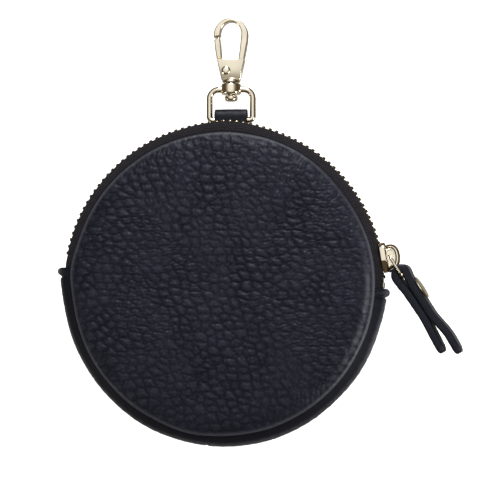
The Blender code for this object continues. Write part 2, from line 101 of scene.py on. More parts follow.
def cells(u, v, pitch, seed):
    """Distances to the nearest and second nearest of scattered points, in pitches."""
    u, v = u / pitch, v / pitch
    i, j = np.floor(u), np.floor(v)
    first = np.full(u.shape, 9.0)
    second = first.copy()
    for di in (-1, 0, 1):
        for dj in (-1, 0, 1):
            x = i + di + 0.1 + 0.8 * hashed(i + di, j + dj, seed)
            y = j + dj + 0.1 + 0.8 * hashed(i + di, j + dj, seed + 5)
            far = np.hypot(u - x, v - y)
            second = np.minimum(second, np.maximum(first, far))
            first = np.minimum(first, far)
    return first, second


def pillow(u, v, pitch, seed, width, fullness):
    """Cells swollen like small cushions: 0 in the grooves between them, 1 at their middles."""
    first, second = cells(u, v, pitch, seed)
    rise = np.clip((second - first) / width, 0, 1)
    return 1 - (1 - rise) ** fullness


def pebbles(u, v, seed=1):
    """Pebbled grain: its height from 0 to 1, and how far down into the grooves each point lies, which the
    leathers paint as shade.
    """
    bend = 0.9 * MM
    wu = u + bend * (value_noise(u, v, 4.5 * MM, seed + 11) - 0.5)
    wv = v + bend * (value_noise(u, v, 4.5 * MM, seed + 12) - 0.5)
    wu, wv = wu + 0.3 * wv, wv * 1.3
    large = pillow(wu, wv, 3.3 * MM, seed, 0.95, 1.4)
    small = pillow(wu - wv * 0.4, wv, 1.45 * MM, seed + 3, 0.8, 1.4)
    depth = 0.5 + 0.5 * value_noise(u, v, 6 * MM, seed + 14)
    mixed = value_noise(u, v, 4.5 * MM, seed + 15)
    height = 1 - depth * (1 - large) * (0.8 - 0.25 * mixed) - (1 - small) * (0.16 + 0.24 * mixed)
    return height, np.clip(1.15 * (1 - height) - 0.12, 0, 1)


def bell(value, middle, width, power=2):
    """A smooth bump of height 1 round a value."""
    return np.exp(-(((value - middle) / width) ** power))


def hump(angle, middle, width):
    """A bell round an angle, all in degrees."""
    return bell((angle - middle + 180) % 360, 180, width)


# ---------------------------------------------------------------- meshes

def placed(name, data):
    """A new object in the scene that shows a mesh, a curve, a camera or a light."""
    made = bpy.data.objects.new(name, data)
    bpy.context.scene.collection.objects.link(made)
    return made


def mesh_object(name, points, faces, uv=None, crease_shade=None, wear_and_highlight=None):
    """A smooth object from points and faces, with UVs and two attributes on its points: the painted shade in
    the grain's grooves, and edge wear with painted highlights.
    """
    mesh = bpy.data.meshes.new(name)
    mesh.from_pydata([tuple(p) for p in points], [], [tuple(f) for f in faces])
    if uv is not None:
        layer = mesh.uv_layers.new(name="surface")
        corners = np.empty(len(mesh.loops), int)
        mesh.loops.foreach_get("vertex_index", corners)
        spread = np.asarray(uv)[corners] * UV_SCALE
        layer.data.foreach_set("uv", spread.astype(np.float32).ravel())
    for kind, given in (("crease_shade", crease_shade), ("wear_and_highlight", wear_and_highlight)):
        values = np.zeros(len(points)) if given is None else np.ravel(given)
        layer = mesh.attributes.new(kind, "FLOAT", "POINT")
        layer.data.foreach_set("value", np.asarray(values, np.float32))
    mesh.shade_smooth()
    return placed(name, mesh)


def fix_normals(piece, flat_angle=None):
    """Turns every face outwards, and keeps edges sharper than an angle sharp."""
    shape = bmesh.new()
    shape.from_mesh(piece.data)
    bmesh.ops.recalc_face_normals(shape, faces=shape.faces)
    shape.to_mesh(piece.data)
    shape.free()
    if flat_angle:
        piece.data.set_sharp_from_angle(angle=math.radians(flat_angle))
    return piece


def grid_faces(rows, columns, wrap_rows=False, wrap_columns=False):
    """The quads of a grid of points numbered row by row."""
    faces = []
    for i in range(rows if wrap_rows else rows - 1):
        for j in range(columns if wrap_columns else columns - 1):
            k, m = (i + 1) % rows, (j + 1) % columns
            faces.append((i * columns + j, k * columns + j, k * columns + m, i * columns + m))
    return faces


def swept(name, rings, uv=None, crease_shade=None, wear_and_highlight=None):
    """A solid through rings of points, with its two ends filled."""
    rings = np.asarray(rings)
    rows, columns = rings.shape[:2]
    faces = grid_faces(rows, columns, wrap_columns=True)
    faces.append(tuple(range(columns)))
    faces.append(tuple(range((rows - 1) * columns, rows * columns))[::-1])
    flat_uv = None if uv is None else np.reshape(uv, (-1, 2))
    return fix_normals(mesh_object(name, rings.reshape(-1, 3), faces, flat_uv, crease_shade, wear_and_highlight), 50)


def lathe(name, outline, place, steps=48):
    """A solid turned about Z from (radius, z) points that start and end on the axis."""
    outline = [(r * MM, z * MM) for r, z in outline]
    rings = []
    for k in range(steps):
        angle = 2 * math.pi * k / steps
        rings.append([(r * math.cos(angle), r * math.sin(angle), z) for r, z in outline[1:-1]])
    rings = np.asarray(rings)
    points = list(rings.reshape(-1, 3)) + [(0, 0, outline[0][1]), (0, 0, outline[-1][1])]
    columns = rings.shape[1]
    faces = grid_faces(steps, columns, wrap_rows=True)
    first, last = steps * columns, steps * columns + 1
    for k in range(steps):
        m = (k + 1) % steps
        faces.append((first, k * columns, m * columns))
        faces.append((last, m * columns + columns - 1, k * columns + columns - 1))
    made = mesh_object(name, points, faces)
    made.data.transform(place)
    return fix_normals(made, 40)


def rounded(corners, radius, steps=4):
    """An outline of (x, y) corners with each corner rounded by an arc-like bend."""
    out = []
    count = len(corners)
    for k in range(count):
        before, here, after = (Vector(corners[(k + d) % count]) for d in (-1, 0, 1))
        reach = min(radius, (before - here).length * 0.49, (after - here).length * 0.49)
        a = here + (before - here).normalized() * reach
        b = here + (after - here).normalized() * reach
        for s in range(steps + 1):
            t = s / steps
            out.append(a * (1 - t) ** 2 + here * 2 * t * (1 - t) + b * t * t)
    return out


def smooth_line(points, per_span):
    """Points along a Catmull-Rom curve through the given points."""
    line = []
    for i in range(len(points) - 1):
        before, a = Vector(points[max(i - 1, 0)]), Vector(points[i])
        b, after = Vector(points[i + 1]), Vector(points[min(i + 2, len(points) - 1)])
        for k in range(per_span):
            t = k / per_span
            line.append(0.5 * (2 * a + (b - before) * t + (2 * before - 5 * a + 4 * b - after) * t**2
                               + (3 * a - before - 3 * b + after) * t**3))
    line.append(Vector(points[-1]))
    return line


def prism(name, outline, width, bevel, at=Vector(), segments=3):
    """A flat outline drawn about a point and extruded along Z to both sides of it, with rounded edges."""
    width, bevel = width * MM, bevel * MM
    shape = bmesh.new()
    low = [shape.verts.new((at.x + p[0] * MM, at.y + p[1] * MM, at.z - width / 2)) for p in outline]
    face = shape.faces.new(low)
    side = bmesh.ops.extrude_face_region(shape, geom=[face])
    moved = [g for g in side["geom"] if isinstance(g, bmesh.types.BMVert)]
    bmesh.ops.translate(shape, verts=moved, vec=(0, 0, width))
    bmesh.ops.recalc_face_normals(shape, faces=shape.faces)
    rims = [e for e in shape.edges if abs(e.verts[0].co.z - e.verts[1].co.z) < width / 4]
    bmesh.ops.bevel(shape, geom=rims, offset=bevel, segments=segments, profile=0.6, affect="EDGES")
    mesh = bpy.data.meshes.new(name)
    shape.to_mesh(mesh)
    shape.free()
    mesh.shade_smooth()
    mesh.set_sharp_from_angle(angle=math.radians(38))
    return placed(name, mesh)


def strip(name, line, thickness, width_at, across, seed, painted_highlight=0.0):
    """A grained leather strip that stands on edge along a line in X and Y, its width to both sides of Z = 0,
    with painted shade in its grain's grooves.
    width_at gives its half width at a share of its length, and the last argument how strongly a painted
    highlight lightens its outer side."""
    count = len(line)
    lengths = [0.0]
    for i in range(1, count):
        lengths.append(lengths[-1] + (line[i] - line[i - 1]).length)
    rings, uvs, crease_shades = [], [], []
    round_off = thickness * 0.28
    for i, point in enumerate(line):
        along = (line[min(i + 1, count - 1)] - line[max(i - 1, 0)]).normalized()
        side = Vector((-along.y, along.x))
        half = width_at(lengths[i] / lengths[-1])
        to_end = min(lengths[i], lengths[-1] - lengths[i]) / (1.6 * MM)
        thick = thickness * (1 - 0.35 * max(0.0, 1 - to_end) ** 2) / 2
        section = rounded([(thick, -half), (thick, half), (-thick, half), (-thick, -half)], round_off, 3)
        section = refine(section, across)
        ring, uv = [], []
        for p in section:
            ring.append((point.x + side.x * p.x, point.y + side.y * p.x, p.y))
            uv.append((lengths[i], p.y + (0.03 if p.x < 0 else 0.0)))
        rings.append(ring)
        uvs.append(uv)
    rings, uvs = np.asarray(rings), np.asarray(uvs)
    height, crease_shade = pebbles(uvs[..., 0], uvs[..., 1], seed)
    middle = np.asarray([(p.x, p.y, 0.0) for p in line])[:, None, :]
    out = rings - middle
    out[..., 2] = 0
    length = np.maximum(np.linalg.norm(out, axis=2, keepdims=True), 1e-9)
    face = np.clip(length[..., 0] / (thickness * 0.45), 0, 1) ** 4
    rings = rings + out / length * ((height - 0.7) * 0.10 * MM * face)[..., None]
    # A painted highlight lightens the strip's outer side; painted shade darkens the grain's creases on its
    # faces.
    outer_face_highlight = np.asarray([p.x > thickness * 0.3 for p in section], float) * painted_highlight
    wear_and_highlight = np.broadcast_to(outer_face_highlight, crease_shade.shape) * (0.4 + 0.6 * height)
    return swept(name, rings, uvs, crease_shade * face, wear_and_highlight)


def refine(section, across):
    """Adds points along a section's long straight sides."""
    out = []
    for a, b in zip(section, section[1:] + section[:1]):
        steps = across if (b - a).length > 2 * MM else 1
        out += [a.lerp(b, k / steps) for k in range(steps)]
    return out


def wire(name, line, thickness, closed=False):
    """A round wire along a smooth line of points."""
    curve = bpy.data.curves.new(name, "CURVE")
    curve.dimensions = "3D"
    curve.bevel_depth = thickness / 2
    curve.bevel_resolution = 6
    curve.use_fill_caps = not closed
    spline = curve.splines.new("POLY")
    spline.points.add(len(line) - 1)
    for i, point in enumerate(line):
        spline.points[i].co = (*point, 1.0)
    spline.use_cyclic_u = closed
    guide = placed(name + "_guide", curve)
    mesh = bpy.data.meshes.new_from_object(guide.evaluated_get(bpy.context.evaluated_depsgraph_get()))
    bpy.data.objects.remove(guide, do_unlink=True)
    shape = bmesh.new()
    shape.from_mesh(mesh)
    bmesh.ops.remove_doubles(shape, verts=shape.verts, dist=1e-6)
    bmesh.ops.recalc_face_normals(shape, faces=shape.faces)
    shape.to_mesh(mesh)
    shape.free()
    mesh.name = name
    mesh.shade_smooth()
    return placed(name, mesh)


def cut(piece, tool, operation="DIFFERENCE"):
    """Cuts a piece with a tool, or joins the two, and removes the tool."""
    change = piece.modifiers.new("cut", "BOOLEAN")
    change.operation = operation
    change.object = tool
    mesh = bpy.data.meshes.new_from_object(piece.evaluated_get(bpy.context.evaluated_depsgraph_get()))
    piece.modifiers.clear()
    piece.data = mesh
    bpy.data.objects.remove(tool, do_unlink=True)
    mesh.shade_smooth()
    mesh.set_sharp_from_angle(angle=math.radians(38))
    return piece


def cylinder(name, radius, low, high, place):
    """A cylinder between two heights on a place's axis."""
    return lathe(name, [(0, low), (radius, low), (radius, high), (0, high)], place, 32)


def spoke(angle):
    """The unit vector at an angle in degrees."""
    return Vector((math.cos(math.radians(angle)), math.sin(math.radians(angle))))


def along(direction, at):
    """The matrix that turns +Z to a direction and moves the origin to a point."""
    return Matrix.Translation(at) @ Vector((0, 0, 1)).rotation_difference(direction).to_matrix().to_4x4()


# ---------------------------------------------------------------- materials

class Nodes:
    """A short way to write a material's nodes."""

    def __init__(self, name):
        self.material = bpy.data.materials.new(name)
        self.material.use_nodes = True
        self.tree = self.material.node_tree
        self.shader = self.tree.nodes["Principled BSDF"]

    def add(self, kind, inputs=None, **settings):
        made = self.tree.nodes.new("ShaderNode" + kind)
        for key, value in settings.items():
            setattr(made, key, value)
        for key, value in (inputs or {}).items():
            self.put(made.inputs[key], value)
        return made

    def put(self, socket, value):
        if isinstance(value, bpy.types.NodeSocket):
            self.tree.links.new(value, socket)
        elif isinstance(value, bpy.types.Node):
            self.tree.links.new(value.outputs[0], socket)
        else:
            socket.default_value = value

    def math(self, operation, a, b=0.0, c=0.0):
        return self.add("Math", {0: a, 1: b, 2: c}, operation=operation).outputs[0]

    def plus(self, a, b):
        return self.math("ADD", a, b)

    def times(self, a, b):
        return self.math("MULTIPLY", a, b)

    def mix(self, share, a, b):
        made = self.add("Mix", data_type="RGBA")
        self.put(made.inputs[0], share)
        self.put(made.inputs[6], a)
        self.put(made.inputs[7], b)
        return made.outputs[2]

    def noise(self, where, scale, detail=3.0, roughness=0.5):
        inputs = {"Vector": where, "Scale": scale, "Detail": detail, "Roughness": roughness}
        return self.add("TexNoise", inputs).outputs[0]

    def ramp(self, value, low, high):
        made = self.add("MapRange", {"Value": value, "From Min": low, "From Max": high})
        return made.outputs[0]

    def bump(self, height, strength, distance, normal=None):
        made = self.add("Bump", {"Height": height, "Strength": strength, "Distance": distance})
        if normal is not None:
            self.put(made.inputs["Normal"], normal)
        return made.outputs[0]

    def finish(self, **inputs):
        for key, value in inputs.items():
            self.put(self.shader.inputs[key.replace("_", " ")], value)
        return self.material


def shaded(colour, share):
    """A colour made darker or lighter by a share."""
    return tuple(share * c for c in colour[:3]) + (1.0,)


def leather_material(name, top, crease_shade_colour, roughness, specular):
    """Pebbled leather with a fine pore texture: painted shade darkens the grain's grooves, and painted
    highlights, partly real edge wear, lighten it where an attribute marks them.
    """
    n = Nodes(name)
    where = n.add("UVMap", uv_map="surface").outputs[0]
    crease_shade = n.add("Attribute", attribute_name="crease_shade").outputs["Fac"]
    patches = n.noise(where, 1.3, 3)
    pores = n.noise(where, 34, 5, 0.62)
    fine = n.add("TexVoronoi", {"Vector": where, "Scale": 17.0}, feature="DISTANCE_TO_EDGE").outputs[0]
    tone = n.mix(n.ramp(patches, 0.35, 0.7), top, shaded(top, 0.82))
    worn = n.mix(n.times(n.ramp(pores, 0.62, 0.85), 0.25), tone, shaded(top, 1.6))
    # Painted shade darkens the creases.
    colour = n.mix(n.ramp(crease_shade, 0.0, 0.75), worn, crease_shade_colour)
    # Painted highlights, partly real edge wear, lighten the colour where the attribute marks them.
    wear_and_highlight = n.add("Attribute", attribute_name="wear_and_highlight").outputs["Fac"]
    colour = n.mix(wear_and_highlight, colour, (0.100, 0.105, 0.120, 1))
    rough = n.plus(n.times(crease_shade, 0.22), n.times(pores, 0.16))
    rough = n.math("SUBTRACT", rough, n.times(wear_and_highlight, 0.06))
    normal = n.bump(n.ramp(fine, 0.0, 0.22), 0.35, 0.05 * MM)
    normal = n.bump(pores, 0.55, 0.05 * MM, normal)
    n.shader.inputs["Specular IOR Level"].default_value = specular
    n.shader.inputs["Specular Tint"].default_value = (0.88, 0.92, 1.0, 1)
    return n.finish(Base_Color=colour, Roughness=n.plus(rough, roughness - 0.1), Normal=normal)


def tape_material():
    """Woven zip tape: a fine herringbone with a ribbed selvedge."""
    n = Nodes("woven_tape")
    where = n.add("SeparateXYZ", {0: n.add("UVMap", uv_map="surface").outputs[0]})
    along_tape, across = where.outputs[0], where.outputs[1]
    zigzag = n.math("PINGPONG", across, 0.11)
    twill = n.math("SINE", n.times(n.plus(along_tape, zigzag), 2 * math.pi / 0.075))
    ribs = n.math("SINE", n.times(across, 2 * math.pi / 0.09))
    fuzz = n.noise(n.add("UVMap", uv_map="surface").outputs[0], 24, 3, 0.7)
    height = n.plus(n.times(twill, 0.5), n.times(ribs, 0.3))
    light = n.ramp(n.plus(height, n.times(fuzz, 2.4)), 0.4, 2.2)
    colour = n.mix(light, (0.0014, 0.0012, 0.0020, 1), (0.0290, 0.0270, 0.0320, 1))
    n.shader.inputs["Specular IOR Level"].default_value = 0.06
    return n.finish(Base_Color=colour, Roughness=n.plus(n.times(fuzz, 0.2), 0.72),
                    Normal=n.bump(height, 0.9, 0.16 * MM))


def lining_material():
    """Plain-weave lining cloth."""
    n = Nodes("lining_cloth")
    uv = n.add("UVMap", uv_map="surface").outputs[0]
    where = n.add("SeparateXYZ", {0: uv})
    warp = n.math("SINE", n.times(where.outputs[0], 2 * math.pi / 0.05))
    weft = n.math("SINE", n.times(where.outputs[1], 2 * math.pi / 0.05))
    weave = n.times(warp, weft)
    slub = n.noise(uv, 9, 4)
    light = n.ramp(n.plus(weave, slub), -0.6, 1.6)
    colour = n.mix(light, (0.016, 0.017, 0.021, 1), (0.050, 0.051, 0.058, 1))
    n.shader.inputs["Sheen Weight"].default_value = 0.2
    return n.finish(Base_Color=colour, Roughness=n.plus(n.times(slub, 0.2), 0.7),
                    Normal=n.bump(weave, 0.6, 0.06 * MM))


def foam_material():
    """Fine-celled foam padding."""
    n = Nodes("foam_padding")
    where = n.add("TexCoord").outputs["Object"]
    holes = n.add("TexVoronoi", {"Vector": where, "Scale": 2600.0}).outputs["Distance"]
    colour = n.mix(n.ramp(holes, 0.1, 0.6), (0.42, 0.42, 0.40, 1), (0.62, 0.62, 0.59, 1))
    return n.finish(Base_Color=colour, Roughness=n.plus(n.times(holes, 0.1), 0.88),
                    Normal=n.bump(holes, 0.6, 0.1 * MM))


def metal_material(name, colour, roughness):
    """Plated metal with faint polishing marks and a slightly uneven tone."""
    n = Nodes(name)
    where = n.add("TexCoord").outputs["Object"]
    cloudy = n.noise(where, 260, 3)
    stretched = n.add("Mapping", {"Vector": where, "Scale": (9000.0, 900.0, 4000.0)})
    lines = n.noise(stretched.outputs[0], 1.0, 4)
    tone = n.mix(n.ramp(cloudy, 0.35, 0.75), colour, shaded(colour, 0.86))
    rough = n.plus(n.times(n.math("SUBTRACT", lines, 0.5), 0.12), roughness)
    n.shader.inputs["Metallic"].default_value = 1.0
    return n.finish(Base_Color=tone, Roughness=rough,
                    Normal=n.bump(n.plus(cloudy, lines), 0.10, 0.02 * MM))


# Each leather's second colour is the painted shade in its creases.
LEATHER_FINISH = leather_material("pebbled_leather", (0.0178, 0.0183, 0.0292, 1), (0.0034, 0.0037, 0.0080, 1),
                                  0.38, 0.14)
EDGE_FINISH = leather_material("painted_edge_leather", (0.0088, 0.0092, 0.0150, 1),
                               (0.0034, 0.0036, 0.0062, 1), 0.36, 0.16)
TAPE_FINISH = tape_material()
LINING_FINISH = lining_material()
FOAM_FINISH = foam_material()
GOLD_FINISH = metal_material("pale_gold", (0.86, 0.78, 0.62, 1), 0.14)
TEETH_FINISH = metal_material("zip_metal", (0.54, 0.47, 0.35, 1), 0.18)
STEEL_FINISH = metal_material("spring_steel", (0.55, 0.55, 0.56, 1), 0.25)


def dress(piece, finish, body, node):
    """Gives a piece its material, the body that carries it and the CAD node that it stands for."""
    piece.data.materials.clear()
    piece.data.materials.append(finish)
    if body == "front_shell":
        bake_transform(piece)
    else:
        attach(piece, body)
    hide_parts(node)
    return piece


def gild(piece, body, node):
    """Dresses a piece of the gold metalwork."""
    dress(piece, GOLD_FINISH, body, node)


# ---------------------------------------------------------------- the purse's body

def panel_edge(angle):
    """The front panel's slightly uneven radius at an angle: the panel sits a little low and to the right."""
    shift = 0.50 * np.cos(np.radians(angle + 45))
    lumps = 0.75 * hump(angle, 35, 17) - 0.35 * hump(angle, 258, 9) - 0.70 * hump(angle, 175, 8)
    return PANEL_R - (0.50 - shift + lumps) * MM


def disc_points(count):
    """Points that fill a unit disc in a square grid's order, and the order of its rim."""
    a, b = np.meshgrid(np.linspace(-1, 1, count), np.linspace(-1, 1, count))
    a, b = a + 1e-9, b + 2e-9
    wide = np.abs(a) > np.abs(b)
    r = np.where(wide, a, b)
    turn = np.where(wide, np.pi / 4 * b / a, np.pi / 2 - np.pi / 4 * a / b)
    index = np.arange(count * count).reshape(count, count)
    rim = list(index[0, :-1]) + list(index[:-1, -1]) + list(index[-1, :0:-1]) + list(index[:0:-1, 0])
    return (r * np.cos(turn)).ravel(), (r * np.sin(turn)).ravel(), rim


def dome(share, flat, crown, edge):
    """A panel's height from the mid-plane at a share of its radius: a shallow dome with a round shoulder."""
    reach = np.clip((share - flat) / (1 - flat), 0, None)
    return crown - (crown - edge) * (0.62 * reach ** 2.3 + 0.38 * reach ** 18)


def make_panel(name, side, flat, body):
    """A padded leather panel: a grained dome whose edge is turned under."""
    count = 281 if side > 0 else 201
    x, y, rim = disc_points(count)
    angle = np.degrees(np.arctan2(y, x))
    share = np.hypot(x, y)
    radius = panel_edge(angle) if side > 0 else np.full(angle.shape, PANEL_R - 0.1 * MM)
    roll = 0.75 * MM
    px, py = x * (radius - roll * 0.6), y * (radius - roll * 0.6)
    crown = TOP_Z - MID_Z
    edge = PANEL_EDGE_Z + 1.15 * MM
    z = dome(share, flat, crown, edge)
    height, crease_shade = pebbles(px, py, 1 if side > 0 else 21)
    soft = value_noise(px, py, 19 * MM, 31) - 1
    calm = np.clip((1 - share) / 0.015, 0.5, 1)
    inside = np.clip((1 - share) / 0.5, 0, 1)
    z = z - (1 - height) * GRAIN * calm + soft * 0.35 * MM * inside * (1 if side > 0 else 0.2)
    z = np.minimum(z, crown)
    points = [np.stack([px, py, z], 1)]
    # Painted shade darkens the grain's creases, halved near the very edge.
    crease_shades = [crease_shade * calm]
    # Painted light on the panel's edge, by angle round the panel: brightest a little below the right and
    # dimmest at the upper right. A painted highlight band lies just inside the edge on the right, and the
    # thin light line at the very edge is partly edge wear and partly painted highlight.
    shade = 0.45 + 0.55 * hump(angle, -15, 35) - 0.3 * hump(angle, 35, 18)
    painted_highlight = 0.95 * hump(angle, -12, 25) * bell(share, 0.968, 0.016) * height
    wear_and_highlights = [np.clip((share - 0.992) / 0.008, 0, 1) * 0.5 * shade + painted_highlight]
    rim_angle = angle[rim]
    rim_r = np.hypot(px[rim], py[rim])
    rim_z = z[rim]
    cos, sin = np.cos(np.radians(rim_angle)), np.sin(np.radians(rim_angle))
    profile = [(0.30, -0.12), (0.52, -0.38), (0.60, -0.75), (0.45, -1.12), (0.0, -1.38), (-1.0, -1.42),
               (-4.0, -1.30)]
    wobble = 0.12 * MM * (value_noise(rim_angle / 10 * MM, rim_angle * 0, 0.9 * MM, 7) - 0.5)
    for k, (out, down) in enumerate(profile):
        r = rim_r + out * MM + wobble * (1 if k < 5 else 0)
        points.append(np.stack([r * cos, r * sin, rim_z + down * MM], 1))
        # The turned-under rim: painted shade, heavier on its under side, and on its upper rolls a painted
        # highlight that is partly edge wear.
        crease_shades.append(np.full(len(rim), 0.15 if k < 3 else 0.5))
        wear_and_highlights.append(max(0.0, 0.7 - 0.3 * k) * shade[rim])
    insides = np.linspace(0.88, 0.08, 11)
    for inner in insides:
        base = dome(np.full(len(rim), inner * 0.95), flat, crown, edge) - LEATHER
        points.append(np.stack([rim_r * inner * cos, rim_r * inner * sin, base], 1))
        crease_shades.append(np.zeros(len(rim)))
        wear_and_highlights.append(np.zeros(len(rim)))
    points.append(np.array([[0, 0, crown - LEATHER]]))
    crease_shades.append(np.zeros(1))
    wear_and_highlights.append(np.zeros(1))
    points = np.concatenate(points)
    faces = grid_faces(count, count)
    rings = [rim] + [list(range(count * count + k * len(rim), count * count + (k + 1) * len(rim)))
                     for k in range(len(profile) + len(insides))]
    for upper, lower in zip(rings, rings[1:]):
        for k in range(len(rim)):
            m = (k + 1) % len(rim)
            faces.append((upper[k], lower[k], lower[m], upper[m]))
    centre = len(points) - 1
    for k in range(len(rim)):
        faces.append((rings[-1][k], centre, rings[-1][(k + 1) % len(rim)]))
    uv = points[:, :2].copy()
    points[:, 2] = MID_Z + side * points[:, 2]
    crease_shade, wear_and_highlight = np.concatenate(crease_shades), np.concatenate(wear_and_highlights)
    piece = fix_normals(mesh_object(name + "_leather", points, faces, uv, crease_shade, wear_and_highlight))
    dress(piece, LEATHER_FINISH, body, name)


def make_inner_disc(name, node, side, flat, body, depth, thickness, radius, finish, slot):
    """A thin disc that follows a panel's inner side: the padding, or the lining with its soft ripples."""
    rings, columns = 26, 96
    edge = PANEL_EDGE_Z + 0.9 * MM
    top, bottom, uv = [], [], []
    for i in range(rings + 1):
        share = i / rings
        for j in range(columns):
            angle = 2 * math.pi * j / columns
            x, y = share * radius * math.cos(angle), share * radius * math.sin(angle)
            z = float(dome(share * radius / PANEL_R, flat, TOP_Z - MID_Z, edge)) - depth
            if slot == "lining":
                z += 0.12 * MM * math.sin(x * 300 + 2 * math.sin(y * 160))
                z -= 0.4 * MM * min(1, max(0, share - 0.9) / 0.05)
            top.append((x, y, MID_Z + side * z))
            bottom.append((x, y, MID_Z + side * (z - thickness)))
            uv.append((x, y))
    faces = []
    count = len(top)
    for i in range(1, rings):
        for j in range(columns):
            a, b = i * columns + j, i * columns + (j + 1) % columns
            faces.append((a, a + columns, b + columns, b))
            faces.append((count + b, count + b + columns, count + a + columns, count + a))
    for j in range(columns):
        a, b = columns + j, columns + (j + 1) % columns
        faces.append((0, a, b))
        faces.append((count, count + b, count + a))
        c, d = rings * columns + j, rings * columns + (j + 1) % columns
        faces.append((c, count + c, count + d, d))
    piece = mesh_object(name, top + bottom, faces, np.asarray(uv + uv))
    shape = bmesh.new()
    shape.from_mesh(piece.data)
    bmesh.ops.delete(shape, geom=[v for v in shape.verts if not v.link_faces], context="VERTS")
    shape.to_mesh(piece.data)
    shape.free()
    fix_normals(piece, 50)
    return dress(piece, finish, body, node)


def gusset_radius(t):
    """The gusset's radius across its width: t is -1 and 1 at its seams, and 0 where it stands out most."""
    return SEAM_R + (OUTER_R - SEAM_R) * (1 - t * t)


def make_gusset(name, node, depth, thickness, half, finish, grained):
    """The strip round the bottom half. The leather one has ends that are folded over and stand proud."""
    start, end = ZIP_END + END_GAP, 360 + ZIP_START - END_GAP
    steps = 560 if grained else 120
    across = 26 if grained else 10
    angles = np.linspace(start, end, steps)
    t = np.linspace(-half, half, across)
    grid_angle, grid_t = np.meshgrid(angles, t, indexing="ij")
    u = np.radians(grid_angle) * OUTER_R
    v = grid_t * 7.4 * MM
    height, crease_shade = pebbles(u, v, 41)
    from_left = (grid_angle - start) * math.pi / 180 * OUTER_R / MM
    from_right = (end - grid_angle) * math.pi / 180 * OUTER_R / MM
    end_mm = np.minimum(from_left, from_right)
    middle = np.clip(1 - np.abs(grid_t) ** 5, 0, 1)
    knob = bell(end_mm, 1.15, 1.0, 4) * 0.85
    near = 0.85 * bell(from_left, 0, 8) + 0.35 * bell(from_right, 0, 7)
    notch = bell(end_mm, 2.75, 0.3)
    tick = bell(grid_angle, 264, 0.35)
    wave = 0.22 + 0.3 * (value_noise(u, v * 0.5, 11 * MM, 44) - 0.5)
    wave = wave + 0.25 * hump(grid_angle, 278, 18) - 0.2 * hump(grid_angle, 205, 16)
    radius = gusset_radius(grid_t) - depth
    wear_and_highlight = np.zeros_like(radius)
    if grained:
        swell = knob + near - 0.55 * notch - 0.25 * tick + wave
        radius = radius + (swell * middle - (1 - height) * 0.22) * MM
        # Painted shade in the stitch notch near each end, and in a band along each seam under the panels'
        # edges.
        crease_shade = np.clip(crease_shade + 1.5 * notch, 0, 1)
        crease_shade = np.clip(crease_shade + np.clip((np.abs(grid_t) - 0.5) / 0.25, 0, 1), 0, 1)
        # Painted highlights: streaks at two places round the gusset over a light band along its outer part,
        # partly edge wear, and a spot on each folded end.
        highlight_streak = 0.75 * hump(grid_angle, 340, 13) + 0.5 * hump(grid_angle, 198, 12) + 0.3
        wear_and_highlight = highlight_streak * bell(np.abs(grid_t), 0.25, 0.2) * (0.3 + 0.7 * height)
        wear_and_highlight = wear_and_highlight + 0.5 * bell(end_mm, 1.3, 0.7) * bell(grid_t, 0.45, 0.2)
    inner = gusset_radius(grid_t) - depth - thickness
    z = MID_Z + grid_t * SEAM_Z
    cos, sin = np.cos(np.radians(grid_angle)), np.sin(np.radians(grid_angle))
    outer_points = np.stack([radius * cos, radius * sin, z], 2)
    inner_points = np.stack([inner * cos, inner * sin, z], 2)[:, ::-1]
    rings = np.concatenate([outer_points, inner_points], 1)
    uv = np.concatenate([np.stack([u, v], 2), np.stack([u, v + 0.03], 2)[:, ::-1]], 1)
    crease_shades = np.concatenate([crease_shade, np.zeros_like(crease_shade)], 1)
    wear_and_highlights = np.concatenate([wear_and_highlight, np.zeros_like(wear_and_highlight)], 1)
    dress(swept(name, rings, uv, crease_shades, wear_and_highlights), finish, "back_shell", node)


def zip_swell(angle):
    """How many millimetres the zip stands out from an even circle: the loop lifts it, and the purse gives."""
    lift = 0.70 * hump(angle, 88, 13) + 0.20 * hump(angle, 115, 25)
    return lift - 0.25 * hump(angle, 32, 20)


def make_tape(side, body, node):
    """One zip tape: a woven band that slopes from under the panel's edge to the teeth's cord."""
    angles = np.linspace(ZIP_START - 0.5, ZIP_END + 0.5, 420)
    outer_line = [(46.2, 6.05), (47.0, 5.75), (47.9, 5.0), (48.7, 4.1), (49.1, 3.3), (49.4, 2.85),
                  (49.45, 2.5), (49.3, 2.2), (48.9, 2.1)]
    inner_line = [(48.6, 2.3), (48.4, 2.9), (48.0, 3.8), (47.3, 4.8), (46.5, 5.45), (45.8, 5.75)]
    section = smooth_line(outer_line, 3) + smooth_line(inner_line, 3)
    rings, uvs = [], []
    for angle in angles:
        turn = math.radians(angle)
        ring, uv, run = [], [], 0.0
        pucker = 0.10 * math.sin(turn * 61) + 0.07 * math.sin(turn * 97 + 1)
        for k, p in enumerate(section):
            run += (section[k] - section[k - 1]).length if k else 0.0
            free = min(1.0, max(0.0, (p.y - 2.4) / 1.0)) * min(1.0, max(0.0, (6.0 - p.y) / 1.0))
            r = (p.x - 0.15 + pucker * free + zip_swell(angle) * (p.x - 46) / 3) * MM
            ring.append((r * math.cos(turn), r * math.sin(turn), MID_Z + side * p.y * MM))
            uv.append((turn * OUTER_R, run * MM))
        rings.append(ring)
        uvs.append(uv)
    dress(swept(node + "_weave", rings, uvs), TAPE_FINISH, body, node)


def tooth_outline():
    """A tooth seen from outside the purse: a rounded head that meshes, a neck and two jaws at its root."""
    half = [(0.34, -0.95), (0.46, -0.55), (0.34, -0.1), (0.40, 0.5), (0.60, 0.95), (0.62, 2.0), (0.38, 2.45)]
    return half + [(-x, y) for x, y in half[::-1]]


